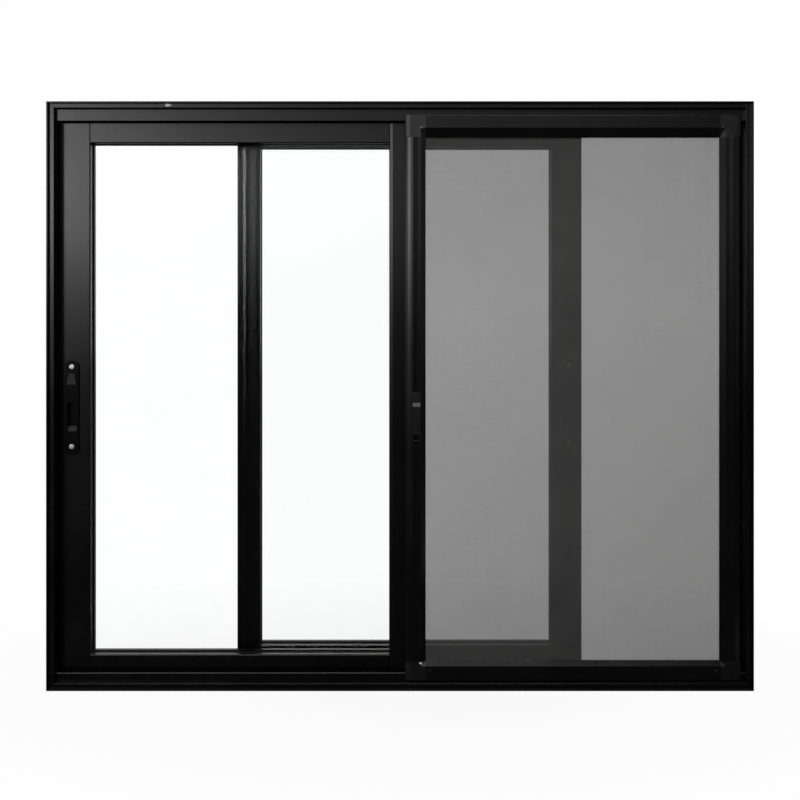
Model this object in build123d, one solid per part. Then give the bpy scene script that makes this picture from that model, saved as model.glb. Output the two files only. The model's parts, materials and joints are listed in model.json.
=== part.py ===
# Three-track aluminium sliding window: two glass sashes and an insect screen in one frame.
# X runs to the right, Y from the lock side to the far side, Z up.
# The origin is the middle of the sill's underside.
import os

from build123d import *

# Frame
frame_width = 1200.0
frame_height = 1000.0
frame_depth = 105.0
frame_wall = 1.6
lip = 2.0                     # outer lip that borders the front
jamb_thickness = 11.0
jamb_setback = 6.0            # jamb web behind the front plane
head_thickness = 10.0
sill_thickness = 10.0
band_setback = 6.0            # head and sill webs behind the front plane
nose_radius = 0.8             # rounded front edges of the webs
weep_width = 30.0
weep_height = 5.0
weep_spacing = 380.0

# Tracks, measured back from the front plane, and the fins that stand on them
screen_track = 15.0
front_track = 43.0
rear_track = 83.0
fin_thickness = 2.0
jamb_fin = 15.0
head_fin = 20.0
screen_rail_height = 15.9     # sill rail that carries the screen
sash_rail_height = 7.0        # sill rails that carry the sashes
rail_bead = 2.2               # radius of the round top of a sill rail

# Glass sashes
sash_depth = 30.0
sash_wall = 1.6
sash_sill_gap = 4.0
sash_head_gap = 5.0
sash_jamb_gap = 0.5
sash_overlap = 44.0           # how far the closed sashes pass each other
rear_sash_open = 266.5        # how far the rear sash stands from its closed place
fin_clearance = 2.5           # fin tip to the floor of a sash channel
lift_clearance = 5.4          # head fin tip to the floor of a top channel
lock_chamber = 25.2           # hollow in the lock stile
meeting_chamber = 28.8        # hollow in the interlock stile
top_chamber = 19.2            # hollow in the top rail
rebate = 8.4                  # depth of the glazing rebate
face_groove = 2.0             # groove along the lock stile's face
face_groove_inset = 6.0
face_groove_depth = 1.0
edge_radius = 2.5             # rounded outer edge of the interlock stile
face_radius = 0.8             # other long edges of the sash faces
sight_radius = 2.0            # rounded edges beside the glass
hook_inset = 11.5             # interlock hook, in from the stile's edge
hook_reach = 7.5              # and out from its face
hook_lip = 5.5
hook_wall = 1.5
track_notch = 20.0            # notch for the tracks in the stile ends

# Glazing
glass_thickness = 6.0
glass_cover = 6.5             # glass inside the rebate
gasket_thickness = 3.0
gasket_show = 0.5
gasket_hold = 4.5

# Weather strips in the lock stile
pile_width = 5.0
pile_inset = 3.0
pile_holder = 5.0             # thickness of the wall that holds the pile
pile_slot = 2.4
pile_gap = 0.3

# Rollers
wheel_radius = 10.15          # at the bottom of the wheel's groove
wheel_flange = 1.5
wheel_width = 8.0
wheel_groove = 5.2
axle_radius = 1.5
running_gap = 0.2
wheel_headroom = 1.6
housing_length = 50.0
housing_width = 16.0
housing_slot = 9.0
housing_inset = 60.0          # roller axle from the stile
housing_skirt = 2.5           # housing's lower edge above the track rail

# Locks
lock_width = 24.0
lock_height = 164.0
lock_proud = 3.0
lock_centre = 22.8            # from the sash's outer edge
lock_middle = 477.0           # height of the lock's middle
lock_case_width = 20.0
lock_case_depth = 9.0
lock_case_height = 118.0
lock_case_lift = 12.0         # case middle above the lock middle
lock_fit = 0.3
lock_corner = 11.0
lock_bevel = 1.2
recess_width = 16.0
recess_height = 42.0
recess_depth = 8.5
recess_drop = 11.0            # recess middle below the lock middle
ramp_height = 8.0             # sloped lower end of the recess
ramp_depth = 5.0
slider_width = 17.0
slider_height = 19.0
slider_thickness = 3.0
slider_tip_width = 9.0
slider_tip_thickness = 0.8
slider_lift = 50.0            # slider middle above the lock middle
slider_slot_width = 8.0
slider_slot_height = 17.0
slider_stem_height = 9.0

# Insect screen
screen_width = 575.0
screen_depth = 13.5
screen_wall = 1.3
screen_jamb_gap = 6.0
screen_sill_gap = 5.6
screen_head_gap = 11.0
screen_stile_width = 36.0
screen_top_height = 38.0
screen_bottom_height = 30.0
crown_width = 14.5            # curved outer part of a screen stile's face
crown_drop = 4.2
valley_inset = 21.5           # shallow valley along the screen stiles
valley_drop = 0.8
valley_rise = 1.0
corner_radius = 4.0           # outer edge of a corner piece
stile_bevel = 8.5
top_bevel = 16.0
bottom_bevel = 7.0
bevel_drop = 7.0
ledge = 10.0                  # seat of the mesh along the inner edge
ledge_depth = 9.0             # seat of the mesh behind the screen's face
screen_lift = 5.0             # head fin tip to the floor of the screen's top channel
guide_height = 7.3
guide_length = 40.0
guide_inset = 70.0
guide_groove = 5.2
mesh_thickness = 0.8
mesh_hold = 9.0               # mesh behind the frame
mesh_columns = 8              # coarse openings that stand for the fine mesh
mesh_rows = 14
mesh_bar = 18.0
spline_width = 4.0
spline_thickness = 3.0
spline_gap = 0.3

# Pull on the screen
pull_width = 16.0
pull_height = 84.0
pull_thickness = 3.5
pull_corner = 4.0
pull_bevel = 1.2
pull_inset = 20.0             # pull middle from the screen's outer edge
pull_middle = 463.5
pull_ledge_height = 7.0       # sloped ledge for the thumb
pull_ledge_proud = 3.5
pull_ledge_lip = 1.0
pull_ledge_drop = 17.5        # from the top of the pull to the ledge
pull_pad_height = 44.0        # ribbed pad under the ledge
pull_pad_width = 13.0
pull_pad_proud = 1.0
pull_groove = 2.0
pull_groove_spacing = 5.0
pull_hole_width = 11.0
pull_hole_height = 9.0
pull_hole_rise = 3.0          # from the bottom of the pull

# Sizes that follow from the ones above
clear_width = frame_width - 2 * jamb_thickness
clear_top = frame_height - head_thickness
sash_width = clear_width / 2 - sash_jamb_gap + sash_overlap / 2
sash_bottom = sill_thickness + sash_sill_gap
sash_top = clear_top - sash_head_gap
lock_channel = jamb_fin - sash_jamb_gap + fin_clearance
top_channel = head_fin - sash_head_gap + lift_clearance
screen_rail_top = sill_thickness + screen_rail_height
sash_rail_top = sill_thickness + sash_rail_height
axle_height = sash_rail_top + running_gap + wheel_radius
wheel_top = axle_height + wheel_radius + wheel_flange
bottom_channel = wheel_top + wheel_headroom - sash_bottom
lock_stile_width = lock_channel + sash_wall + lock_chamber + sash_wall + rebate
meeting_width = rebate + sash_wall + meeting_chamber + sash_wall
top_rail_height = top_channel + sash_wall + top_chamber + sash_wall + rebate
bottom_rail_height = bottom_channel + sash_wall + rebate
sight_left = lock_stile_width
sight_right = sash_width - meeting_width
sight_bottom = sash_bottom + bottom_rail_height
sight_top = sash_top - top_rail_height
screen_bottom = sill_thickness + screen_sill_gap
screen_top = clear_top - screen_head_gap
screen_right = clear_width / 2 - screen_jamb_gap
screen_left = screen_right - screen_width
screen_top_channel = head_fin - screen_head_gap + screen_lift
screen_bottom_channel = screen_rail_height - screen_sill_gap + running_gap + guide_height


def depth(behind_front):
    return behind_front - frame_depth / 2


def strip(x0, y0, x1, y1):
    return Pos((x0 + x1) / 2, (y0 + y1) / 2) * Rectangle(x1 - x0, y1 - y0)


def block(x0, y0, z0, x1, y1, z1):
    return Pos((x0 + x1) / 2, (y0 + y1) / 2, (z0 + z1) / 2) * Box(x1 - x0, y1 - y0, z1 - z0)


def upright(profile, bottom, top):
    return Pos(0, 0, bottom) * extrude(profile, amount=top - bottom)


def crosswise(profile, left, right):
    return Pos(left, 0, 0) * extrude(Plane.YZ * profile, amount=right - left)


def corners_near(profile, x, y):
    return [v for v in profile.vertices() if abs(v.X - x) < 0.01 and abs(v.Y - y) < 0.01]


# Frame profiles: the first coordinate runs back from the front plane, the second out of the web

def web_chambers(setback, thickness):
    ribs = [setback, front_track, rear_track, frame_depth]
    cells = None
    for start, end in zip(ribs, ribs[1:]):
        cell = strip(start + frame_wall, frame_wall, end - frame_wall, thickness - frame_wall)
        cells = cell if cells is None else cells + cell
    return cells


def track_fins(tracks, base, height):
    fins = None
    for track in tracks:
        fin = strip(track - fin_thickness / 2, base, track + fin_thickness / 2, base + height)
        fins = fin if fins is None else fins + fin
    return fins


def frame_profile(setback, thickness):
    web = strip(setback, 0, frame_depth, thickness)
    web = fillet(corners_near(web, setback, thickness), nose_radius)
    web = web + strip(0, 0, setback + nose_radius, lip)
    return web - web_chambers(setback, thickness)


def front_lip():
    return strip(0, 0, jamb_setback, lip)


def jamb():
    web = upright(frame_profile(jamb_setback, jamb_thickness), 0, frame_height)
    fins = track_fins([front_track, rear_track], jamb_thickness, jamb_fin)
    body = web + upright(fins, sash_rail_top, clear_top - head_fin)
    return Pos(-frame_width / 2, depth(0), 0) * mirror(Rot(0, 0, -90) * body, about=Plane.XZ)


def head():
    fins = track_fins([screen_track, front_track, rear_track], head_thickness, head_fin)
    body = crosswise(frame_profile(band_setback, head_thickness) + fins, -clear_width / 2, clear_width / 2)
    corner_reach = frame_width / 2 - lip
    body = body + crosswise(front_lip(), -corner_reach, corner_reach)
    return Pos(0, depth(0), frame_height) * mirror(body, about=Plane.XY)


def weep_slots():
    slots = None
    for step in (-1, 0, 1):
        middle = step * weep_spacing
        low = (sill_thickness - weep_height) / 2
        slot = block(middle - weep_width / 2, frame_depth - 2 * frame_wall, low,
                     middle + weep_width / 2, frame_depth + frame_wall, low + weep_height)
        slots = slot if slots is None else slots + slot
    return slots


def sill():
    rails = track_fins([screen_track], sill_thickness, screen_rail_height - rail_bead)
    rails += track_fins([front_track, rear_track], sill_thickness, sash_rail_height - rail_bead)
    tops = [(screen_track, screen_rail_top), (front_track, sash_rail_top), (rear_track, sash_rail_top)]
    for track, top in tops:
        rails += Pos(track, top - rail_bead) * Circle(rail_bead)
    body = crosswise(frame_profile(band_setback, sill_thickness) + rails, -clear_width / 2, clear_width / 2)
    corner_reach = frame_width / 2 - lip
    body = body + crosswise(front_lip(), -corner_reach, corner_reach) - weep_slots()
    return Pos(0, depth(0), 0) * body


# Glass sash: x from the lock edge to the meeting edge, y from its front face to its back

def glazing_leg():
    return (sash_depth - glass_thickness) / 2 - gasket_thickness


def stile_legs(left, right):
    leg = glazing_leg()
    return strip(left, 0, right, leg) + strip(left, sash_depth - leg, right, sash_depth)


def rail_legs(low, high):
    leg = glazing_leg()
    return strip(0, low, leg, high) + strip(sash_depth - leg, low, sash_depth, high)


def face_walls(start, end):
    return strip(start, 0, end, sash_wall) + strip(start, sash_depth - sash_wall, end, sash_depth)


def end_notches():
    low = (sash_depth - track_notch) / 2
    high = (sash_depth + track_notch) / 2
    return (block(-1, low, sash_bottom - 1, sash_width + 1, high, sash_bottom + bottom_channel)
            + block(-1, low, sash_top - top_channel, sash_width + 1, high, sash_top + 1))


def lock_stile_profile():
    web_1 = lock_channel
    web_2 = lock_channel + sash_wall + lock_chamber
    profile = face_walls(0, lock_stile_width)
    profile += strip(web_1, 0, web_1 + sash_wall, sash_depth)
    profile += strip(web_2, 0, web_2 + sash_wall, sash_depth)
    profile += stile_legs(lock_stile_width - sash_wall, lock_stile_width)
    holder_end = pile_inset + pile_width + sash_wall
    profile += strip(0, 0, holder_end, pile_holder)
    profile += strip(0, sash_depth - pile_holder, holder_end, sash_depth)
    for low, high in ((pile_holder - pile_slot, pile_holder),
                      (sash_depth - pile_holder, sash_depth - pile_holder + pile_slot)):
        profile -= strip(pile_inset, low, pile_inset + pile_width, high)
    profile -= strip(face_groove_inset, 0, face_groove_inset + face_groove, face_groove_depth)
    profile = fillet(corners_near(profile, 0, 0), face_radius)
    edge = lock_stile_width
    beside_glass = corners_near(profile, edge, 0) + corners_near(profile, edge, sash_depth)
    return fillet(beside_glass, sight_radius)


def lock_case_box(grow):
    half_width = lock_case_width / 2 + grow
    half_height = lock_case_height / 2 + grow
    middle = lock_middle + lock_case_lift
    return block(lock_centre - half_width, -sash_wall, middle - half_height,
                 lock_centre + half_width, lock_case_depth + grow, middle + half_height)


def lock_stile():
    return upright(lock_stile_profile(), sash_bottom, sash_top) - end_notches() - lock_case_box(lock_fit)


def interlock_profile(hook_in_front):
    right = sash_width
    left = sash_width - meeting_width
    profile = face_walls(left, right)
    web = left + rebate
    profile += strip(web, 0, web + sash_wall, sash_depth)
    profile += strip(right - sash_wall, 0, right, sash_depth)
    profile += stile_legs(left, left + sash_wall)
    profile = fillet(corners_near(profile, left, 0) + corners_near(profile, left, sash_depth), sight_radius)
    profile = fillet(corners_near(profile, right, 0) + corners_near(profile, right, sash_depth), edge_radius)
    stem = right - hook_inset
    if hook_in_front:
        profile += strip(stem - hook_wall, -hook_reach, stem, sash_wall)
        profile += strip(stem - hook_lip, -hook_reach, stem, hook_wall - hook_reach)
    else:
        profile += strip(stem - hook_wall, sash_depth - sash_wall, stem, sash_depth + hook_reach)
        profile += strip(stem - hook_lip, sash_depth + hook_reach - hook_wall, stem, sash_depth + hook_reach)
    return profile


def interlock_stile(hook_in_front):
    return upright(interlock_profile(hook_in_front), sash_bottom, sash_top) - end_notches()


def top_rail():
    profile = strip(0, sight_top, sash_wall, sash_top)
    profile += strip(sash_depth - sash_wall, sight_top, sash_depth, sash_top)
    for floor in (sight_top + rebate, sash_top - top_channel - sash_wall):
        profile += strip(0, floor, sash_depth, floor + sash_wall)
    profile += rail_legs(sight_top, sight_top + sash_wall)
    beside_glass = corners_near(profile, 0, sight_top) + corners_near(profile, sash_depth, sight_top)
    return crosswise(fillet(beside_glass, sight_radius), sight_left, sight_right)


def bottom_rail():
    profile = strip(0, sash_bottom, sash_wall, sight_bottom)
    profile += strip(sash_depth - sash_wall, sash_bottom, sash_depth, sight_bottom)
    floor = sash_bottom + bottom_channel
    profile += strip(0, floor, sash_depth, floor + sash_wall)
    profile += rail_legs(sight_bottom - sash_wall, sight_bottom)
    beside_glass = corners_near(profile, 0, sight_bottom) + corners_near(profile, sash_depth, sight_bottom)
    return crosswise(fillet(beside_glass, sight_radius), sight_left, sight_right)


def glass():
    front = (sash_depth - glass_thickness) / 2
    return block(sight_left - glass_cover, front, sight_bottom - glass_cover,
                 sight_right + glass_cover, front + glass_thickness, sight_top + glass_cover)


def ring(left, bottom, right, top, inner, outer, front, thickness):
    hole = block(left + inner, front - 1, bottom + inner, right - inner, front + thickness + 1, top - inner)
    return block(left - outer, front, bottom - outer, right + outer, front + thickness, top + outer) - hole


def gasket():
    front = (sash_depth - glass_thickness) / 2
    rings = []
    for start in (front - gasket_thickness, front + glass_thickness):
        rings.append(ring(sight_left, sight_bottom, sight_right, sight_top,
                          gasket_show, gasket_hold, start, gasket_thickness))
    return Compound(rings)


def weather_strip():
    fin_front = (sash_depth - fin_thickness) / 2
    reach = fin_front - pile_gap
    base = pile_holder - pile_slot
    strips = []
    for low, high in ((base, reach), (sash_depth - reach, sash_depth - base)):
        strips.append(block(pile_inset, low, sash_rail_top + running_gap,
                            pile_inset + pile_width, high, sash_top))
    return Compound(strips)


def roller_places():
    return (sight_left + housing_inset, sight_right - housing_inset)


def roller_housing(middle):
    low = (sash_depth - housing_width) / 2
    slot = (sash_depth - housing_slot) / 2
    body = block(middle - housing_length / 2, low, sash_rail_top + housing_skirt,
                 middle + housing_length / 2, sash_depth - low, sash_bottom + bottom_channel)
    gap = wheel_radius + wheel_flange + wheel_headroom
    body -= block(middle - gap, slot, sash_rail_top,
                  middle + gap, sash_depth - slot, sash_bottom + bottom_channel)
    bore = Rot(90, 0, 0) * Cylinder(axle_radius + running_gap, sash_depth)
    return body - Pos(middle, sash_depth / 2, axle_height) * bore


def roller_wheel(middle):
    wheel = Cylinder(wheel_radius + wheel_flange, wheel_width)
    tread = Cylinder(wheel_radius + wheel_flange, wheel_groove) - Cylinder(wheel_radius, wheel_groove)
    wheel = wheel - tread + Cylinder(axle_radius, housing_width)
    return Pos(middle, sash_depth / 2, axle_height) * Rot(90, 0, 0) * wheel


def lock_body():
    plate = Pos(lock_centre, 0, lock_middle) * Rot(90, 0, 0) * extrude(
        RectangleRounded(lock_width, lock_height, lock_corner), amount=lock_proud)
    front_edges = plate.faces().sort_by(Axis.Y)[0].edges()
    plate = chamfer(front_edges, lock_bevel)
    inside = lock_case_box(0) & block(0, 0, sash_bottom, lock_stile_width, sash_depth, sash_top)
    body = plate + inside
    recess_top = lock_middle - recess_drop + recess_height / 2
    recess_bottom = recess_top - recess_height
    recess_floor = recess_depth - lock_proud
    recess = Polyline((-lock_proud, recess_top), (recess_floor, recess_top), (recess_floor, recess_bottom),
                      (ramp_depth - lock_proud, recess_bottom), (-lock_proud, recess_bottom - ramp_height),
                      close=True)
    body -= crosswise(make_face(recess), lock_centre - recess_width / 2, lock_centre + recess_width / 2)
    slot_middle = lock_middle + slider_lift
    slot = Box(slider_slot_width, lock_case_depth + 2 * lock_proud, slider_slot_height)
    return body - Pos(lock_centre, -lock_proud, slot_middle) * slot


def lock_slider():
    middle = lock_middle + slider_lift
    foot_plane = Plane.XY.offset(middle - slider_height / 2) * Pos(lock_centre, -lock_proud, 0)
    foot = strip(-slider_width / 2, -slider_thickness, slider_width / 2, 0)
    tip = strip(-slider_tip_width / 2, -slider_tip_thickness, slider_tip_width / 2, 0)
    cap = loft([foot_plane * foot, foot_plane * Pos(0, 0, slider_height) * tip])
    stem_width = slider_slot_width - 2 * lock_fit
    stem_end = lock_case_depth / 2 - lock_fit
    stem = block(lock_centre - stem_width / 2, -lock_proud, middle - slider_stem_height / 2,
                 lock_centre + stem_width / 2, stem_end, middle + slider_stem_height / 2)
    return cap + stem


def sash_pieces(hook_in_front):
    return {
        "lock_stile": lock_stile(),
        "interlock_stile": interlock_stile(hook_in_front),
        "top_rail": top_rail(),
        "bottom_rail": bottom_rail(),
        "glass": glass(),
        "gasket": gasket(),
        "weather_strip": weather_strip(),
        "roller_housings": Compound([roller_housing(x) for x in roller_places()]),
        "roller_wheels": Compound([roller_wheel(x) for x in roller_places()]),
        "lock_body": lock_body(),
        "lock_slider": lock_slider(),
    }


# Insect screen: first coordinate in from the outer edge, second back from the face

def screen_back(width, bevel):
    return [(width - bevel, 0), (width, bevel_drop), (width, ledge_depth), (width - ledge, ledge_depth),
            (width - ledge, screen_depth), (0, screen_depth)]


def stile_outline():
    flat = Polyline((crown_width, 0), *screen_back(screen_stile_width, stile_bevel), (0, crown_drop))
    crown = TangentArc((crown_width, 0), (0, crown_drop), tangent=(-1, 0))
    return make_face(flat.edges() + crown.edges())


def stile_valley():
    return make_face(Polyline((crown_width, 0), (valley_inset, valley_drop), (valley_inset + valley_rise, 0),
                              close=True))


def rail_outline(height, bevel):
    face = make_face(Polyline((0, 0), *screen_back(height, bevel), close=True))
    return fillet(corners_near(face, 0, 0), screen_wall)


def screen_chamber(outline):
    return offset(outline, amount=-screen_wall, kind=Kind.INTERSECTION)


def screen_stile():
    outline = stile_outline()
    chamber = screen_chamber(outline) & strip(0, screen_wall + valley_drop, screen_stile_width, screen_depth)
    profile = outline - stile_valley() - chamber
    return upright(profile, screen_bottom + screen_bottom_height, screen_top - screen_top_height)


def screen_rail(height, bevel, channel):
    outline = rail_outline(height, bevel)
    chamber = screen_chamber(outline) & strip(channel + screen_wall, 0, height, screen_depth)
    profile = outline - chamber - strip(0, screen_wall, channel, screen_depth - screen_wall)
    rail = extrude(Plane((0, 0, 0), x_dir=(0, 0, 1), z_dir=(-1, 0, 0)) * profile,
                   amount=screen_width - 2 * screen_stile_width)
    return Pos(screen_right - screen_stile_width, 0, screen_bottom) * rail


def screen_corner(height, bevel, channel):
    corner = block(0, 0, 0, screen_stile_width, screen_depth, height)
    outer_edge = corner.edges().filter_by(Axis.Z).sort_by(lambda e: e.center().X + e.center().Y)[0]
    corner = fillet(outer_edge, corner_radius)
    side_cut = upright(make_face(Polyline((screen_stile_width - stile_bevel, 0), (screen_stile_width, 0),
                                          (screen_stile_width, bevel_drop), close=True)), 0, height)
    slope = Polyline((0, height - bevel), (0, height), (bevel_drop, height), close=True)
    end_cut = crosswise(make_face(slope), 0, screen_stile_width)
    corner -= side_cut & end_cut
    corner -= block(screen_stile_width - ledge, ledge_depth, height - ledge,
                    screen_stile_width, screen_depth, height)
    return corner - block(0, screen_wall, 0, screen_stile_width, screen_depth - screen_wall, channel)


def screen_guides():
    front = screen_wall
    pieces = []
    for middle in (screen_left + guide_inset, screen_right - guide_inset):
        seat = screen_rail_top + running_gap
        guide = block(middle - guide_length / 2, front, seat - guide_height / 2,
                      middle + guide_length / 2, screen_depth - front, seat + guide_height)
        groove = (screen_depth - guide_groove) / 2
        guide -= block(middle - guide_length, groove, sill_thickness,
                       middle + guide_length, screen_depth - groove, seat)
        pieces.append(guide)
    return Compound(pieces)


def screen_mesh():
    left = screen_left + screen_stile_width
    bottom = screen_bottom + screen_bottom_height
    right = screen_right - screen_stile_width
    top = screen_top - screen_top_height
    sheet = block(left - mesh_hold, ledge_depth, bottom - mesh_hold,
                  right + mesh_hold, ledge_depth + mesh_thickness, top + mesh_hold)
    cell_width = (right - left) / mesh_columns
    cell_height = (top - bottom) / mesh_rows
    opening = Box(cell_width - mesh_bar, screen_depth, cell_height - mesh_bar)
    middle = Pos((left + right) / 2, ledge_depth, (bottom + top) / 2)
    grid = Plane.XZ * GridLocations(cell_width, cell_height, mesh_columns, mesh_rows)
    return sheet - [middle * Pos(place.position) * opening for place in grid]


def screen_spline():
    outer = ledge - spline_gap
    return ring(screen_left + screen_stile_width, screen_bottom + screen_bottom_height,
                screen_right - screen_stile_width, screen_top - screen_top_height,
                spline_width - outer, outer, ledge_depth + mesh_thickness, spline_thickness)


def pull_hole():
    middle = screen_left + pull_inset
    low = pull_middle - pull_height / 2 + pull_hole_rise
    return block(middle - pull_hole_width / 2, -2 * pull_thickness, low,
                 middle + pull_hole_width / 2, screen_depth - screen_wall, low + pull_hole_height)


def screen_pull():
    middle = screen_left + pull_inset
    top = pull_middle + pull_height / 2
    face = -pull_thickness
    pull = Pos(middle, 0, pull_middle) * Rot(90, 0, 0) * extrude(
        RectangleRounded(pull_width, pull_height, pull_corner), amount=pull_thickness)
    pull = chamfer(pull.faces().sort_by(Axis.Y)[0].edges(), pull_bevel)
    pad_top = top - pull_ledge_drop - pull_ledge_height
    slope = Polyline((face, top - pull_ledge_drop), (face - pull_ledge_proud, pad_top + pull_ledge_lip),
                     (face - pull_ledge_proud, pad_top), (face, pad_top), close=True)
    pull += crosswise(make_face(slope), middle - pull_pad_width / 2, middle + pull_pad_width / 2)
    pull += block(middle - pull_pad_width / 2, face - pull_pad_proud, pad_top - pull_pad_height,
                  middle + pull_pad_width / 2, face, pad_top)
    for side in (-1, 1):
        groove = middle + side * pull_groove_spacing / 2
        pull -= block(groove - pull_groove / 2, face - pull_pad_proud, pad_top - pull_pad_height,
                      groove + pull_groove / 2, face, pad_top)
    return pull - pull_hole()


def screen_pieces():
    left_stile = Pos(screen_left, 0, 0) * screen_stile()
    top_rail = mirror(screen_rail(screen_top_height, top_bevel, screen_top_channel),
                      about=Plane.XY.offset(screen_bottom))
    low = Pos(0, 0, screen_bottom) * screen_corner(screen_bottom_height, bottom_bevel, screen_bottom_channel)
    high = mirror(screen_corner(screen_top_height, top_bevel, screen_top_channel), about=Plane.XY)
    low_left = Pos(screen_left, 0, 0) * low
    high_left = Pos(screen_left, 0, screen_top) * high
    middle = Plane.YZ.offset((screen_left + screen_right) / 2)
    return {
        "left_stile": left_stile - pull_hole(),
        "right_stile": mirror(left_stile, about=middle),
        "top_rail": Pos(0, 0, screen_top - screen_bottom) * top_rail,
        "bottom_rail": screen_rail(screen_bottom_height, bottom_bevel, screen_bottom_channel),
        "lower_left_corner": low_left,
        "lower_right_corner": mirror(low_left, about=middle),
        "upper_left_corner": high_left,
        "upper_right_corner": mirror(high_left, about=middle),
        "mesh": screen_mesh(),
        "spline": screen_spline(),
        "guides": screen_guides(),
        "pull": screen_pull(),
    }


def window():
    left_jamb = jamb()
    pieces = {
        "head_track": head(),
        "sill_track": sill(),
        "left_jamb": left_jamb,
        "right_jamb": mirror(left_jamb, about=Plane.YZ),
    }
    closed_edge = clear_width / 2 - sash_jamb_gap
    front_place = Pos(-closed_edge, depth(front_track) - sash_depth / 2, 0)
    for name, piece in sash_pieces(hook_in_front=False).items():
        pieces["front_sash_" + name] = front_place * piece
    rear_place = Pos(closed_edge - rear_sash_open, depth(rear_track) - sash_depth / 2, 0)
    for name, piece in sash_pieces(hook_in_front=True).items():
        pieces["rear_sash_" + name] = rear_place * mirror(piece, about=Plane.YZ)
    screen_place = Pos(0, depth(screen_track) - screen_depth / 2, 0)
    for name, piece in screen_pieces().items():
        pieces["screen_" + name] = screen_place * piece
    return pieces


os.makedirs("parts", exist_ok=True)
for node, piece in window().items():
    export_step(piece, os.path.join("parts", node + ".step"))
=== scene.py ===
import json
from math import radians

import bpy
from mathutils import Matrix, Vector


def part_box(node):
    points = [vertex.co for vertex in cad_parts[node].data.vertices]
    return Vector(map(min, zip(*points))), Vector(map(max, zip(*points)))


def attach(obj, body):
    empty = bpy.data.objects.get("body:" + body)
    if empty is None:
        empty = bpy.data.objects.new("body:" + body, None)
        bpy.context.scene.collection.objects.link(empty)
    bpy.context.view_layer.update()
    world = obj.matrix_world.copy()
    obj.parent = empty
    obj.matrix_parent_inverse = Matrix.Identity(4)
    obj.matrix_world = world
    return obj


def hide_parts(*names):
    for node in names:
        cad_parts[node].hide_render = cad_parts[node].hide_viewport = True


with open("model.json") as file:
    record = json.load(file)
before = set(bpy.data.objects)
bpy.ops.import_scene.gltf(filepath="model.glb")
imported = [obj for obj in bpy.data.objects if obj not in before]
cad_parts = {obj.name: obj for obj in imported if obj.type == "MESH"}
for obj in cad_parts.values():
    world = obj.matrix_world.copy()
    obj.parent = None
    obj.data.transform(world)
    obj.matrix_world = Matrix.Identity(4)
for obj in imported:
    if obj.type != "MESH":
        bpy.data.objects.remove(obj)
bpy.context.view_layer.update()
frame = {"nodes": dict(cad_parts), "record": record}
print("frame loaded:", len(frame["nodes"]), "nodes")


# helpers for objects and edit mode

def deselectAll():
    if bpy.context.object and bpy.context.object.mode != "OBJECT":
        bpy.ops.object.mode_set(mode="OBJECT")
    bpy.ops.object.select_all(action="DESELECT")


def makeActive(piece):
    deselectAll()
    piece.select_set(True)
    bpy.context.view_layer.objects.active = piece


def startEdit(piece, mode):
    makeActive(piece)
    bpy.ops.object.mode_set(mode="EDIT")
    bpy.ops.mesh.select_mode(type=mode)
    bpy.ops.mesh.select_all(action="DESELECT")


def endEdit():
    bpy.ops.object.mode_set(mode="OBJECT")


def pickFaces(piece, test):
    endEdit()
    for face in piece.data.polygons:
        face.select = test(face)
    bpy.ops.object.mode_set(mode="EDIT")


def pickPoints(piece, test):
    bpy.ops.mesh.select_all(action="DESELECT")
    endEdit()
    for point in piece.data.vertices:
        point.select = test(point.co)
    bpy.ops.object.mode_set(mode="EDIT")


def applyModifier(piece, kind, **values):
    makeActive(piece)
    modifier = piece.modifiers.new(kind.title(), kind)
    for name, value in values.items():
        setattr(modifier, name, value)
    bpy.ops.object.modifier_apply(modifier=modifier.name)


def settle(piece, name):
    # the place goes into the mesh, the object stays at the origin
    makeActive(piece)
    bpy.ops.object.transform_apply(location=True, rotation=True, scale=True)
    piece.name = name
    piece.data.name = name
    return piece


def joinPieces(pieces, name):
    deselectAll()
    for piece in pieces:
        piece.select_set(True)
    bpy.context.view_layer.objects.active = pieces[0]
    bpy.ops.object.join()
    return settle(bpy.context.object, name)


# helpers for node trees

def addNode(tree, kind, **values):
    node = tree.nodes.new(kind)
    for name, value in values.items():
        setattr(node, name, value)
    return node


def join(tree, source, target):
    tree.links.new(source, target)


def feed(tree, socket, value):
    # a number or a colour is set on the socket, anything else is linked to it
    if isinstance(value, (int, float)):
        socket.default_value = value
    elif isinstance(value, tuple):
        socket.default_value = (*value, 1.0) if len(socket.default_value) == 4 else value
    else:
        join(tree, value, socket)


def noise(tree, where, scale, detail=3.0, roughness=0.5):
    node = addNode(tree, "ShaderNodeTexNoise")
    join(tree, where, node.inputs["Vector"])
    node.inputs["Scale"].default_value = scale
    node.inputs["Detail"].default_value = detail
    node.inputs["Roughness"].default_value = roughness
    return node.outputs["Fac"]


def maths(tree, operation, first, second):
    node = addNode(tree, "ShaderNodeMath", operation=operation)
    feed(tree, node.inputs[0], first)
    feed(tree, node.inputs[1], second)
    return node.outputs[0]


def remap(tree, value, lowIn, highIn, lowOut, highOut):
    node = addNode(tree, "ShaderNodeMapRange")
    join(tree, value, node.inputs["Value"])
    labels = ("From Min", "From Max", "To Min", "To Max")
    for label, number in zip(labels, (lowIn, highIn, lowOut, highOut)):
        feed(tree, node.inputs[label], number)
    return node.outputs["Result"]


def share(tree, value, low, high):
    return remap(tree, value, low, high, 0.0, 1.0)


def blendColours(tree, factor, first, second, kind="MIX"):
    node = addNode(tree, "ShaderNodeMix", data_type="RGBA", blend_type=kind)
    for socket, value in ((node.inputs[0], factor), (node.inputs[6], first), (node.inputs[7], second)):
        feed(tree, socket, value)
    return node.outputs[2]


def objectPoint(tree):
    return addNode(tree, "ShaderNodeTexCoord").outputs["Object"]


def stretched(tree, scale):
    node = addNode(tree, "ShaderNodeMapping")
    join(tree, objectPoint(tree), node.inputs["Vector"])
    node.inputs["Scale"].default_value = scale
    return node.outputs["Vector"]


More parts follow.
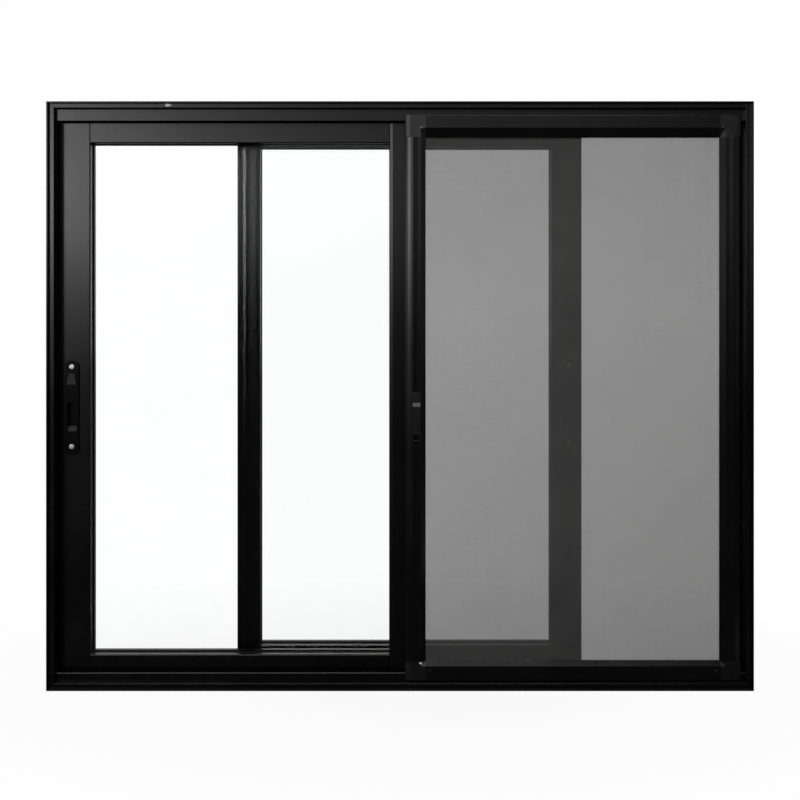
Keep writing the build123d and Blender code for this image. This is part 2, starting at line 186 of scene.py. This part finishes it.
def addBump(tree, shader, height, strength, distance):
    bump = addNode(tree, "ShaderNodeBump")
    bump.inputs["Strength"].default_value = strength
    bump.inputs["Distance"].default_value = distance
    join(tree, height, bump.inputs["Height"])
    join(tree, bump.outputs["Normal"], shader.inputs["Normal"])


def startGroup(name, inputs, outputs):
    group = bpy.data.node_groups.new(name, "ShaderNodeTree")
    for label, kind, value in inputs:
        socket = group.interface.new_socket(name=label, in_out="INPUT", socket_type="NodeSocket" + kind)
        socket.default_value = value
    for label, kind in outputs:
        group.interface.new_socket(name=label, in_out="OUTPUT", socket_type="NodeSocket" + kind)
    return group, group.nodes.new("NodeGroupInput"), group.nodes.new("NodeGroupOutput")


def useGroup(tree, group, **values):
    node = addNode(tree, "ShaderNodeGroup", node_tree=group)
    for label, value in values.items():
        feed(tree, node.inputs[label], value)
    return node.outputs


def startMaterial(name, **sockets):
    material = bpy.data.materials.new(name)
    material.use_nodes = True
    tree = material.node_tree
    shader = tree.nodes["Principled BSDF"]
    for label, value in sockets.items():
        shader.inputs[label.replace("_", " ")].default_value = value
    return material, tree, shader


def wear(piece, material):
    piece.data.materials.clear()
    piece.data.materials.append(material)


noiseSpan = (0.3, 0.7)  # where most of a noise's values lie

# powder coat: cloudy tone, orange-peel grain and fine flecks
coatGrain = {
    "cloud": 7.0, "darker": (0.72, 0.72, 0.72), "lighter": (1.3, 1.3, 1.3),
    "peel": 900.0, "peelRough": 0.4, "roughSpan": (0.45, 0.95),
    "fleck": 2600.0, "fleckSpan": (0.66, 0.78), "fleckTone": (0.05, 0.05, 0.052), "fleckRise": 0.2,
}


def makeCoatGroup():
    group, into, out = startGroup(
        "powderCoat",
        [("Tone", "Color", (0.01, 0.01, 0.011, 1.0)), ("Fleck", "Float", 0.3),
         ("Smooth", "Float", 0.28), ("Rough", "Float", 0.38)],
        [("Color", "Color"), ("Roughness", "Float"), ("Height", "Float")])
    point = objectPoint(group)
    cloud = noise(group, point, coatGrain["cloud"], detail=5.0, roughness=0.6)
    peel = noise(group, point, coatGrain["peel"], detail=2.0)
    speck = noise(group, point, coatGrain["fleck"], detail=1.0)
    fleck = remap(group, speck, *coatGrain["fleckSpan"], 0.0, into.outputs["Fleck"])
    mottle = blendColours(group, share(group, cloud, *noiseSpan), coatGrain["darker"], coatGrain["lighter"])
    tone = blendColours(group, 1.0, into.outputs["Tone"], mottle, "MULTIPLY")
    join(group, blendColours(group, fleck, tone, coatGrain["fleckTone"]), out.inputs["Color"])
    uneven = maths(group, "ADD", cloud, maths(group, "MULTIPLY", peel, coatGrain["peelRough"]))
    rough = remap(group, uneven, *coatGrain["roughSpan"], into.outputs["Smooth"], into.outputs["Rough"])
    join(group, rough, out.inputs["Roughness"])
    raised = maths(group, "MULTIPLY", fleck, coatGrain["fleckRise"])
    join(group, maths(group, "ADD", peel, raised), out.inputs["Height"])
    return group


# dust that lies on faces that look up
dustSpread = {"patch": 60.0, "patchSpan": (0.35, 0.75), "thinnest": 0.15, "slope": (0.3, 1.0)}


def makeDustGroup():
    group, into, out = startGroup("settledDust", [("Amount", "Float", 0.3)], [("Mask", "Float")])
    up = addNode(group, "ShaderNodeSeparateXYZ")
    join(group, addNode(group, "ShaderNodeNewGeometry").outputs["Normal"], up.inputs[0])
    patch = noise(group, objectPoint(group), dustSpread["patch"], detail=6.0, roughness=0.7)
    patchy = remap(group, patch, *dustSpread["patchSpan"], dustSpread["thinnest"], 1.0)
    flat = remap(group, up.outputs["Z"], *dustSpread["slope"], 0.0, into.outputs["Amount"])
    join(group, maths(group, "MULTIPLY", patchy, flat), out.inputs["Mask"])
    return group


# fine rubbed lines along the height
scuffLines = {
    "stretch": (700.0, 700.0, 12.0), "lineSpan": (0.62, 0.72),
    "patch": 14.0, "patchSpan": (0.45, 0.7),
}


def makeScuffGroup():
    group, into, out = startGroup("rubbedLines", [("Amount", "Float", 0.3)], [("Mask", "Float")])
    line = noise(group, stretched(group, scuffLines["stretch"]), 1.0, roughness=0.6)
    patch = share(group, noise(group, objectPoint(group), scuffLines["patch"]), *scuffLines["patchSpan"])
    thin = remap(group, line, *scuffLines["lineSpan"], 0.0, into.outputs["Amount"])
    join(group, maths(group, "MULTIPLY", thin, patch), out.inputs["Mask"])
    return group


# a small pale spot at one point, wider than it is tall
spotRagged = 700.0  # scale of its uneven edge


def makePaleSpotGroup():
    group, into, out = startGroup(
        "paleSpot",
        [("Spot", "Vector", (0.0, 0.0, 0.0)), ("Size", "Float", 0.002),
         ("Flatten", "Vector", (0.45, 1.0, 1.0))],
        [("Mask", "Float")])
    offset = addNode(group, "ShaderNodeVectorMath", operation="SUBTRACT")
    join(group, objectPoint(group), offset.inputs[0])
    join(group, into.outputs["Spot"], offset.inputs[1])
    flat = addNode(group, "ShaderNodeVectorMath", operation="MULTIPLY")
    join(group, offset.outputs["Vector"], flat.inputs[0])
    join(group, into.outputs["Flatten"], flat.inputs[1])
    away = addNode(group, "ShaderNodeVectorMath", operation="LENGTH")
    join(group, flat.outputs["Vector"], away.inputs[0])
    ragged = maths(group, "MULTIPLY", noise(group, objectPoint(group), spotRagged), into.outputs["Size"])
    near = maths(group, "ADD", away.outputs["Value"], ragged)
    join(group, maths(group, "LESS_THAN", near, into.outputs["Size"]), out.inputs["Mask"])
    return group


coatGroup = makeCoatGroup()
dustGroup = makeDustGroup()
scuffGroup = makeScuffGroup()
paleSpotGroup = makePaleSpotGroup()
print("node groups made")


# pale spots mixed into a colour; on the corner plastic they are painted glints
def addPaleSpots(tree, colour, look):
    for spot, size in look["paleSpots"]:
        spotMask = useGroup(tree, paleSpotGroup, Spot=spot, Size=size)["Mask"]
        colour = blendColours(tree, spotMask, colour, look["paleSpotTone"])
    return colour


# black coats: one of the frame and the glass sashes, one of the screen, a duller one of the locks
coatLook = {
    "tone": (0.0016, 0.0016, 0.0018), "specular": 0.4, "smooth": 0.18, "rough": 0.25,
    "dustTone": (0.16, 0.155, 0.145), "dust": 0.1,
    # a small pale spot on the head's front lip
    "paleSpots": [((-0.395, -0.0465, 0.9948), 0.0042)], "paleSpotTone": (0.75, 0.75, 0.74),
}
screenLook = {
    "tone": (0.002, 0.002, 0.0022), "specular": 0.4, "smooth": 0.18, "rough": 0.25,
    "dustTone": (0.16, 0.155, 0.145), "dust": 0.1, "paleSpots": [],
}
lockLook = {
    "tone": (0.0016, 0.0016, 0.0017), "specular": 0.1, "smooth": 0.22, "rough": 0.32,
    "dustTone": (0.2, 0.2, 0.19), "dust": 0.12, "paleSpots": [],
}
coatWear = {
    "fleck": 0.12, "scuff": 0.06, "scuffTone": (0.09, 0.09, 0.092), "dustRough": 0.6,
    "bump": (0.12, 0.0004),  # strength and depth
}


def makeBlackCoat(name, look):
    material, tree, shader = startMaterial(name, Specular_IOR_Level=look["specular"])
    coat = useGroup(tree, coatGroup, Tone=look["tone"], Fleck=coatWear["fleck"],
                    Smooth=look["smooth"], Rough=look["rough"])
    dust = useGroup(tree, dustGroup, Amount=look["dust"])["Mask"]
    colour = blendColours(tree, dust, coat["Color"], look["dustTone"])
    scuff = useGroup(tree, scuffGroup, Amount=coatWear["scuff"])["Mask"]
    colour = blendColours(tree, scuff, colour, coatWear["scuffTone"])
    join(tree, addPaleSpots(tree, colour, look), shader.inputs["Base Color"])
    dusty = maths(tree, "MULTIPLY", dust, coatWear["dustRough"])
    join(tree, maths(tree, "ADD", coat["Roughness"], dusty), shader.inputs["Roughness"])
    addBump(tree, shader, coat["Height"], *coatWear["bump"])
    return material


# moulded plastic: fine pitted grain
cornerLook = {
    "tone": (0.003, 0.003, 0.003), "specular": 0.44, "dustTone": (0.15, 0.147, 0.14), "dust": 0.2,
    # the two spots below are painted glints at the left corner joints
    "paleSpots": [((0.0366, -0.0443, 0.0436), 0.0034), ((0.0385, -0.0443, 0.9575), 0.0028)],
    "paleSpotTone": (0.7, 0.7, 0.69),
}
rollerLook = {**cornerLook, "tone": (0.05, 0.05, 0.05), "specular": 0.4, "paleSpots": []}
plasticGrain = {
    "pit": 1300.0, "bump": (0.15, 0.0003), "rough": (0.3, 0.42),
    "cloud": 40.0, "darker": 0.75, "lighter": 1.3,
}


def makePlastic(name, look):
    material, tree, shader = startMaterial(name, Specular_IOR_Level=look["specular"])
    point = objectPoint(tree)
    pit = addNode(tree, "ShaderNodeTexVoronoi", feature="SMOOTH_F1")
    join(tree, point, pit.inputs["Vector"])
    pit.inputs["Scale"].default_value = plasticGrain["pit"]
    cloud = noise(tree, point, plasticGrain["cloud"], detail=4.0)
    darker = tuple(plasticGrain["darker"] * part for part in look["tone"])
    lighter = tuple(plasticGrain["lighter"] * part for part in look["tone"])
    colour = blendColours(tree, share(tree, cloud, *noiseSpan), darker, lighter)
    dust = useGroup(tree, dustGroup, Amount=look["dust"])["Mask"]
    colour = blendColours(tree, dust, colour, look["dustTone"])
    join(tree, addPaleSpots(tree, colour, look), shader.inputs["Base Color"])
    join(tree, remap(tree, cloud, *noiseSpan, *plasticGrain["rough"]), shader.inputs["Roughness"])
    addBump(tree, shader, pit.outputs["Distance"], *plasticGrain["bump"])
    return material


# rubber: matt, with fine drawn lines and a pale bloom
rubberLook = {
    "clean": (0.007, 0.007, 0.007), "bloomed": (0.016, 0.016, 0.0155),
    "bloom": 25.0, "bloomSpan": (0.35, 0.75),
    "lines": 1500.0, "bump": (0.2, 0.0003), "rough": (0.62, 0.8), "specular": 0.15,
}


def makeRubber(name):
    material, tree, shader = startMaterial(name, Specular_IOR_Level=rubberLook["specular"])
    point = objectPoint(tree)
    drawn = noise(tree, point, rubberLook["lines"], detail=2.0)
    bloom = noise(tree, point, rubberLook["bloom"], detail=5.0, roughness=0.65)
    pale = share(tree, bloom, *rubberLook["bloomSpan"])
    colour = blendColours(tree, pale, rubberLook["clean"], rubberLook["bloomed"])
    join(tree, colour, shader.inputs["Base Color"])
    join(tree, remap(tree, bloom, *noiseSpan, *rubberLook["rough"]), shader.inputs["Roughness"])
    addBump(tree, shader, drawn, *rubberLook["bump"])
    return material


# brush pile: short upright fibres, with painted shade in the gaps between them
pileLook = {
    "gap": (0.012, 0.012, 0.012), "fibre": (0.075, 0.075, 0.075), "fibreSpan": (0.35, 0.65),
    "stretch": (2600.0, 120.0, 2600.0), "bump": (0.6, 0.0006), "rough": (0.85, 1.0),
    "specular": 0.1, "sheen": 0.3, "sheenRough": 0.4,
}


def makePile(name):
    material, tree, shader = startMaterial(
        name, Specular_IOR_Level=pileLook["specular"], Sheen_Weight=pileLook["sheen"],
        Sheen_Roughness=pileLook["sheenRough"])
    fibre = noise(tree, stretched(tree, pileLook["stretch"]), 1.0, roughness=0.6)
    tip = share(tree, fibre, *pileLook["fibreSpan"])
    # the darker gap colour is painted shade between the fibres
    colour = blendColours(tree, tip, pileLook["gap"], pileLook["fibre"])
    join(tree, colour, shader.inputs["Base Color"])
    join(tree, remap(tree, fibre, *noiseSpan, *pileLook["rough"]), shader.inputs["Roughness"])
    addBump(tree, shader, fibre, *pileLook["bump"])
    return material


# screen wire: dark coated wire, a little paler where dust clings
wireLook = {
    "clean": (0.055, 0.055, 0.054), "dusty": (0.09, 0.09, 0.086), "dust": 9.0, "dustSpan": (0.3, 0.75),
    "threadTone": (0.035, 0.035, 0.035), "thread": 1100.0, "threadSpan": (0.4, 0.7), "threadShare": 0.4,
    "bump": (0.1, 0.0002), "rough": (0.45, 0.6), "specular": 0.3,
}


def makeWireCoat(name):
    material, tree, shader = startMaterial(name, Specular_IOR_Level=wireLook["specular"])
    point = objectPoint(tree)
    dirt = noise(tree, point, wireLook["dust"], detail=6.0, roughness=0.65)
    thread = noise(tree, point, wireLook["thread"], detail=1.0)
    pale = share(tree, dirt, *wireLook["dustSpan"])
    colour = blendColours(tree, pale, wireLook["clean"], wireLook["dusty"])
    darker = remap(tree, thread, *wireLook["threadSpan"], 0.0, wireLook["threadShare"])
    join(tree, blendColours(tree, darker, colour, wireLook["threadTone"]), shader.inputs["Base Color"])
    join(tree, remap(tree, dirt, *noiseSpan, *wireLook["rough"]), shader.inputs["Roughness"])
    addBump(tree, shader, thread, *wireLook["bump"])
    return material


# clear glass with a faint film
glassLook = {
    "clear": (0.996, 1.0, 0.998), "filmed": (0.982, 0.992, 0.988), "film": 5.0, "filmSpan": (0.3, 0.75),
    "haze": 0.015, "hazeSpan": (0.55, 0.8), "bend": 1.15, "specular": 0.5,
}


def makeGlass(name):
    material, tree, shader = startMaterial(
        name, Transmission_Weight=1.0, IOR=glassLook["bend"], Specular_IOR_Level=glassLook["specular"],
        Metallic=0.0)
    film = noise(tree, objectPoint(tree), glassLook["film"], detail=6.0, roughness=0.6)
    filmed = share(tree, film, *glassLook["filmSpan"])
    colour = blendColours(tree, filmed, glassLook["clear"], glassLook["filmed"])
    join(tree, colour, shader.inputs["Base Color"])
    join(tree, remap(tree, film, *glassLook["hazeSpan"], 0.0, glassLook["haze"]), shader.inputs["Roughness"])
    return material


# screws: bright zinc on the locks, blackened on the screen's corners
zincLook = {"clean": (0.86, 0.87, 0.88), "stained": (0.62, 0.62, 0.6)}
blackenedLook = {"clean": (0.08, 0.08, 0.083), "stained": (0.04, 0.04, 0.04)}
platingGrain = {
    "brushed": (1800.0, 1800.0, 300.0), "bump": (0.1, 0.0001), "rough": (0.22, 0.42),
    "stain": 500.0, "stainSpan": (0.35, 0.7),
}


def makePlating(name, look):
    material, tree, shader = startMaterial(name, Metallic=1.0)
    brushed = noise(tree, stretched(tree, platingGrain["brushed"]), 1.0)
    stain = noise(tree, objectPoint(tree), platingGrain["stain"], detail=4.0)
    dull = share(tree, stain, *platingGrain["stainSpan"])
    colour = blendColours(tree, dull, look["clean"], look["stained"])
    join(tree, colour, shader.inputs["Base Color"])
    join(tree, remap(tree, brushed, *noiseSpan, *platingGrain["rough"]), shader.inputs["Roughness"])
    addBump(tree, shader, brushed, *platingGrain["bump"])
    return material


finishes = {
    "black_coat": makeBlackCoat("frameBlackCoat", coatLook),
    "screen_coat": makeBlackCoat("screenBlackCoat", screenLook),
    "lock_coat": makeBlackCoat("lockBlackCoat", lockLook),
    "corner_plastic": makePlastic("cornerPlastic", cornerLook),
    "roller_plastic": makePlastic("rollerPlastic", rollerLook),
    "gasket_rubber": makeRubber("gasketRubber"),
    "pile": makePile("brushPile"),
    "mesh_wire": makeWireCoat("screenWire"),
    "glass": makeGlass("clearGlass"),
}
zincFinish = makePlating("zincScrew", zincLook)
blackFinish = makePlating("blackenedScrew", blackenedLook)

for part in frame["record"]["subparts"]:
    wear(frame["nodes"][part["node"]], finishes[part["material_slot"]])


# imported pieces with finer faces: hollows along the interlock stiles, a flared hook lip, sloped corner edges
# places across are from the piece's left edge, or a right corner's right edge, and depths from its front
# a cut adds points at a place across, and a move takes the points in both ranges back, or forward if below 0
weldGap = 0.00001  # points closer than this become one
cornerSlope = {"cuts": [0.0085], "moves": [((-0.0001, 0.0041), (-0.0001, 0.0041), 0.0011)]}
finerFaces = {
    "screen_lower_left_corner": cornerSlope, "screen_lower_right_corner": cornerSlope,
    "screen_upper_left_corner": cornerSlope, "screen_upper_right_corner": cornerSlope,
    "front_sash_interlock_stile": {
        "cuts": [0.0059],
        "moves": [((0.0015, 0.0021), (-0.0001, 0.0001), 0.0006),  # start of the round edge beside the glass
                  ((-0.0001, 0.0015), (-0.0001, 0.0021), 0.0006)],  # the rest of that edge
    },
    "rear_sash_interlock_stile": {
        "cuts": [0.018, 0.022, 0.033],
        "moves": [((0.0114, 0.0116), (0.0074, 0.0076), 0.0009),  # foot of the hook
                  ((0.0169, 0.0171), (-0.0001, 0.0016), -0.0009),  # lip of the hook
                  ((0.0219, 0.0331), (0.0074, 0.0076), 0.0005),  # hollow beside the hook
                  ((0.0383, 0.039), (0.0074, 0.0076), 0.001),  # start of the round edge beside the glass
                  ((0.039, 0.0405), (0.0074, 0.0096), 0.001)],  # the rest of that edge
    },
}


def makeFinerFace(node, slot):
    low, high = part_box(node)
    edge, turn = (high.x, -1.0) if "_right_" in node else (low.x, 1.0)
    name = node + "_finished"
    piece = bpy.data.objects.new(name, frame["nodes"][node].data.copy())
    piece.data.name = name
    bpy.context.scene.collection.objects.link(piece)
    startEdit(piece, "VERT")
    bpy.ops.mesh.select_all(action="SELECT")
    bpy.ops.mesh.remove_doubles(threshold=weldGap)
    for place in finerFaces[node]["cuts"]:
        bpy.ops.mesh.select_all(action="SELECT")
        bpy.ops.mesh.bisect(plane_co=(edge + turn * place, 0.0, 0.0), plane_no=(1.0, 0.0, 0.0))
    for across, depth, step in finerFaces[node]["moves"]:
        pickPoints(piece, lambda spot: across[0] < turn * (spot.x - edge) < across[1]
                   and depth[0] < spot.y - low.y < depth[1])
        bpy.ops.transform.translate(value=(0.0, step, 0.0))
    bpy.ops.mesh.customdata_custom_splitnormals_clear()
    endEdit()
    bpy.ops.object.shade_flat()
    wear(piece, finishes[slot])
    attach(piece, "root")
    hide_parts(node)


for part in frame["record"]["subparts"]:
    if part["node"] in finerFaces:
        makeFinerFace(part["node"], part["material_slot"])
print("finer faces on", len(finerFaces), "pieces")


# insect mesh: two nested layers of fine wire, upright ones in front
meshWire = {"pitch": 0.0009, "radius": 0.00025, "shift": 0.00017, "tuck": 0.002, "taper": 0.6, "sides": 6}


def makeWireLayer(name, start, length, turn, step, count):
    deselectAll()
    bpy.ops.mesh.primitive_cylinder_add(
        vertices=meshWire["sides"], radius=meshWire["radius"], depth=length - 2 * meshWire["tuck"],
        location=start, rotation=turn)
    wire = bpy.context.object
    startEdit(wire, "FACE")
    pickFaces(wire, lambda face: abs(face.normal.z) > 0.9)  # the two cut ends
    bpy.ops.mesh.extrude_region_shrink_fatten(TRANSFORM_OT_shrink_fatten={"value": meshWire["tuck"]})
    taper = meshWire["taper"]
    bpy.ops.transform.resize(value=(taper, 1.0, taper) if turn[1] == 0.0 else (1.0, taper, taper))
    endEdit()
    settle(wire, name)
    applyModifier(wire, "ARRAY", count=count, use_relative_offset=False, use_constant_offset=True,
                  constant_offset_displace=step)
    return wire


def makeMesh():
    low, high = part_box("screen_mesh")
    size = high - low
    middle = (low + high) / 2
    pitch = meshWire["pitch"]
    columns = int(size.x / pitch)
    rows = int(size.z / pitch)
    firstX = middle.x - (columns - 1) * pitch / 2
    firstZ = middle.z - (rows - 1) * pitch / 2
    upright = makeWireLayer("uprightWires", (firstX, middle.y - meshWire["shift"], middle.z), size.z,
                            (0.0, 0.0, 0.0), (pitch, 0.0, 0.0), columns)
    level = makeWireLayer("levelWires", (middle.x, middle.y + meshWire["shift"], firstZ), size.x,
                          (0.0, radians(90), 0.0), (0.0, 0.0, pitch), rows)
    mesh = joinPieces([upright, level], "screen_wire_mesh")
    wear(mesh, finishes["mesh_wire"])
    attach(mesh, "root")
    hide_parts("screen_mesh")
    print("mesh wires:", columns, "upright,", rows, "level")


makeMesh()


# screws: domed head with a cross recess, its shares taken from the head's radius and rise
screwHead = {"sides": 28, "round": 0.7, "slotLong": 1.15, "slotWide": 0.24, "slotDeep": 1.3, "smooth": 35}
lockScrew = {"radius": 0.0047, "rise": 0.0018, "sunk": 0.0004, "upper": 0.0705, "lower": -0.067}
cornerScrew = {
    "radius": 0.0026, "rise": 0.001, "sunk": 0.0003,
    "lowIn": 0.007, "lowUp": 0.0145,  # from the bottom rail's end and underside
    "highOut": 0.005, "highDown": 0.022,  # from the upper corner's inner edge and top
}


def makeScrew(name, centre, look):
    x, y, z = centre
    depth = look["rise"] + look["sunk"]
    deselectAll()
    bpy.ops.mesh.primitive_cylinder_add(
        vertices=screwHead["sides"], radius=look["radius"], depth=depth,
        location=(x, y + look["sunk"] - depth / 2, z), rotation=(radians(90), 0, 0))
    screw = bpy.context.object
    settle(screw, name)
    startEdit(screw, "FACE")
    pickFaces(screw, lambda face: face.normal.y < -0.9)  # the head's front
    bpy.ops.mesh.bevel(offset=look["rise"] * screwHead["round"], segments=4, affect="EDGES")
    endEdit()
    long, wide = screwHead["slotLong"], screwHead["slotWide"]
    cutters = []
    for across, tall in ((long, wide), (wide, long)):
        deselectAll()
        bpy.ops.mesh.primitive_cube_add(size=1.0, location=(x, y - look["rise"], z))
        cutter = bpy.context.object
        cutter.scale = (across * look["radius"], look["rise"] * screwHead["slotDeep"], tall * look["radius"])
        cutters.append(settle(cutter, "crossCutter"))
    for cutter in cutters:
        applyModifier(screw, "BOOLEAN", operation="DIFFERENCE", object=cutter, solver="EXACT")
        bpy.data.objects.remove(cutter)
    makeActive(screw)
    bpy.ops.object.shade_smooth_by_angle(angle=radians(screwHead["smooth"]))
    return screw


def makeLockScrews(side):
    low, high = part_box(side + "_sash_lock_body")
    x = (low.x + high.x) / 2
    middle = (low.z + high.z) / 2
    screws = [makeScrew("lockScrew", (x, low.y, middle + lockScrew[end]), lockScrew)
              for end in ("upper", "lower")]
    pair = joinPieces(screws, side + "_lock_screws")
    wear(pair, zincFinish)
    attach(pair, "root")


def makeCornerScrews():
    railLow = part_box("screen_bottom_rail")[0]
    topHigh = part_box("screen_upper_left_corner")[1]
    left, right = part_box("screen_left_stile")[0].x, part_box("screen_right_stile")[1].x
    inset = {"low": railLow.x - left + cornerScrew["lowIn"],
             "high": topHigh.x - left - cornerScrew["highOut"]}
    height = {"low": railLow.z + cornerScrew["lowUp"],
              "high": topHigh.z - cornerScrew["highDown"]}
    screws = []
    for level in ("low", "high"):
        for x in (left + inset[level], right - inset[level]):
            screws.append(makeScrew("cornerScrew", (x, railLow.y, height[level]), cornerScrew))
    group = joinPieces(screws, "screen_corner_screws")
    wear(group, blackFinish)
    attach(group, "root")


for side in ("front", "rear"):
    makeLockScrews(side)
makeCornerScrews()
print("screws made")


# floor, lamp and world
studio = {
    "white": (1.0, 1.0, 1.0), "room": (0.2, 0.2, 0.204),
    "darkRoom": (0.012, 0.012, 0.0125), "sideRoom": (0.22, 0.22, 0.225),
    "sideSpan": (0.45, 0.8), "backSpan": (0.0, 0.4),  # parts of a direction that turn the dark room pale
    # soft source: slopes from the window, reaches to the left and right, and half its height
    "glow": (10.0, 10.0, 10.1), "glowMiddle": (-0.5, 0.14),
    "glowLeft": 0.28, "glowRight": 0.155, "glowHeight": 0.16, "glowLimit": 0.05, "glowSeam": 0.01,
    "topPlace": (-0.2, -1.45, 2.05), "topAim": (0.0, 0.0, 0.45), "topSize": (2.6, 0.65), "topPower": 27.6,
}
floorLook = {
    "size": 16.0, "place": (0.0, 2.0, -0.0005), "tone": (0.8, 0.8, 0.8), "inGloss": (0.06, 0.06, 0.06),
    # the floor turns plain white away from the window's shadow
    "nearGlow": 0.9, "fadeStart": 0.05, "fadeEnd": 0.55, "fadeShape": (0.5, 1.0, 1.0),
    # shiny faces see it pale from these places beside and behind the window
    "besideSpan": (0.62, 0.75), "besideDepth": (-0.35, 0.1), "behindSpan": (0.05, 0.3),
}


def plainView(tree, path):
    # the camera's own rays, and those that only went through glass
    bounces = maths(tree, "ADD", path.outputs["Glossy Depth"], path.outputs["Diffuse Depth"])
    clean = maths(tree, "LESS_THAN", bounces, 0.5)
    through = maths(tree, "MULTIPLY", path.outputs["Is Transmission Ray"], clean)
    return maths(tree, "MAXIMUM", path.outputs["Is Camera Ray"], through)


def softGlow(tree, way):
    # bright band at the upper left in front of the window, thinning out to the right
    limit, seam = studio["glowLimit"], studio["glowSeam"]
    front = maths(tree, "LESS_THAN", way.outputs["Y"], -limit)
    ahead = maths(tree, "MAXIMUM", maths(tree, "MULTIPLY", way.outputs["Y"], -1.0), limit)
    across, rise = [maths(tree, "SUBTRACT", maths(tree, "DIVIDE", way.outputs[axis], ahead), middle)
                    for axis, middle in zip("XZ", studio["glowMiddle"])]
    reach = remap(tree, across, -seam, seam, studio["glowLeft"], studio["glowRight"])
    aside = maths(tree, "DIVIDE", across, reach)
    thin = maths(tree, "DIVIDE", 1.0, maths(tree, "ADD", maths(tree, "MULTIPLY", aside, aside), 1.0))
    band = share(tree, maths(tree, "ABSOLUTE", rise, 0.0), studio["glowHeight"], 0.0)
    band.node.interpolation_type = "SMOOTHSTEP"
    return maths(tree, "MULTIPLY", front, maths(tree, "MULTIPLY", thin, band))


def makeWorld():
    world = bpy.data.worlds.new("studio")
    bpy.context.scene.world = world
    world.use_nodes = True
    tree = world.node_tree
    sky = tree.nodes["Background"]
    path = addNode(tree, "ShaderNodeLightPath")
    way = addNode(tree, "ShaderNodeSeparateXYZ")
    join(tree, addNode(tree, "ShaderNodeTexCoord").outputs["Generated"], way.inputs[0])
    shiny = maths(tree, "MAXIMUM", path.outputs["Is Glossy Ray"], path.outputs["Is Transmission Ray"])
    # shiny faces meet the white backdrop behind the window, pale sides and a dark room in front of it
    sides = share(tree, maths(tree, "ABSOLUTE", way.outputs["X"], 0.0), *studio["sideSpan"])
    backdrop = share(tree, way.outputs["Y"], *studio["backSpan"])
    roomSeen = blendColours(tree, sides, studio["darkRoom"], studio["sideRoom"])
    roomSeen = blendColours(tree, backdrop, roomSeen, studio["white"])
    light = blendColours(tree, shiny, studio["room"], roomSeen)
    light = blendColours(tree, softGlow(tree, way), light, studio["glow"])
    join(tree, blendColours(tree, plainView(tree, path), light, studio["white"]), sky.inputs["Color"])
    sky.inputs["Strength"].default_value = 1.0


def floorTone(tree, path):
    # shiny faces see a dark floor in front of the window and the pale one beside and behind it
    spot = addNode(tree, "ShaderNodeSeparateXYZ")
    join(tree, objectPoint(tree), spot.inputs[0])
    aside = share(tree, maths(tree, "ABSOLUTE", spot.outputs["X"], 0.0), *floorLook["besideSpan"])
    beside = maths(tree, "MULTIPLY", aside, share(tree, spot.outputs["Y"], *floorLook["besideDepth"]))
    pale = maths(tree, "MAXIMUM", beside, share(tree, spot.outputs["Y"], *floorLook["behindSpan"]))
    inGloss = blendColours(tree, pale, floorLook["inGloss"], floorLook["tone"])
    return blendColours(tree, path.outputs["Is Glossy Ray"], floorLook["tone"], inGloss)


def makeFloor():
    deselectAll()
    bpy.ops.mesh.primitive_plane_add(size=floorLook["size"], location=floorLook["place"])
    floor = bpy.context.object
    settle(floor, "floor")
    material, tree, shader = startMaterial("paleFloor", Roughness=0.9, Specular_IOR_Level=0.0)
    path = addNode(tree, "ShaderNodeLightPath")
    glow = addNode(tree, "ShaderNodeEmission")
    mix = addNode(tree, "ShaderNodeMixShader")
    away = addNode(tree, "ShaderNodeVectorMath", operation="LENGTH")
    join(tree, stretched(tree, floorLook["fadeShape"]), away.inputs[0])
    fade = remap(tree, away.outputs["Value"], floorLook["fadeStart"], floorLook["fadeEnd"],
                 floorLook["nearGlow"], 1.0)
    join(tree, floorTone(tree, path), shader.inputs["Base Color"])
    join(tree, maths(tree, "MULTIPLY", plainView(tree, path), fade), mix.inputs[0])
    join(tree, shader.outputs[0], mix.inputs[1])
    join(tree, glow.outputs[0], mix.inputs[2])
    join(tree, mix.outputs[0], tree.nodes["Material Output"].inputs["Surface"])
    wear(floor, material)


def addLamp(name, place, aim, size, power):
    data = bpy.data.lights.new(name, "AREA")
    data.shape = "RECTANGLE"
    data.size, data.size_y = size
    data.energy = power
    lamp = bpy.data.objects.new(name, data)
    bpy.context.scene.collection.objects.link(lamp)
    lamp.location = place
    lamp.rotation_euler = (Vector(aim) - Vector(place)).to_track_quat("-Z", "Y").to_euler()


# level camera in front of the window, picture moved down to frame it as the photo does
photoCamera = {"place": (0.0, -1.5325, 0.663), "lens": 39.29, "shiftY": -0.125}


def makeCamera():
    data = bpy.data.cameras.new("photoCamera")
    data.lens = photoCamera["lens"]
    data.shift_y = photoCamera["shiftY"]
    camera = bpy.data.objects.new("photoCamera", data)
    bpy.context.scene.collection.objects.link(camera)
    camera.location = photoCamera["place"]
    camera.rotation_euler = (radians(90), 0.0, 0.0)
    bpy.context.scene.camera = camera


makeWorld()
makeFloor()
addLamp("topLamp", studio["topPlace"], studio["topAim"], studio["topSize"], studio["topPower"])
makeCamera()
bpy.context.scene.view_settings.view_transform = "Standard"
print("studio ready")
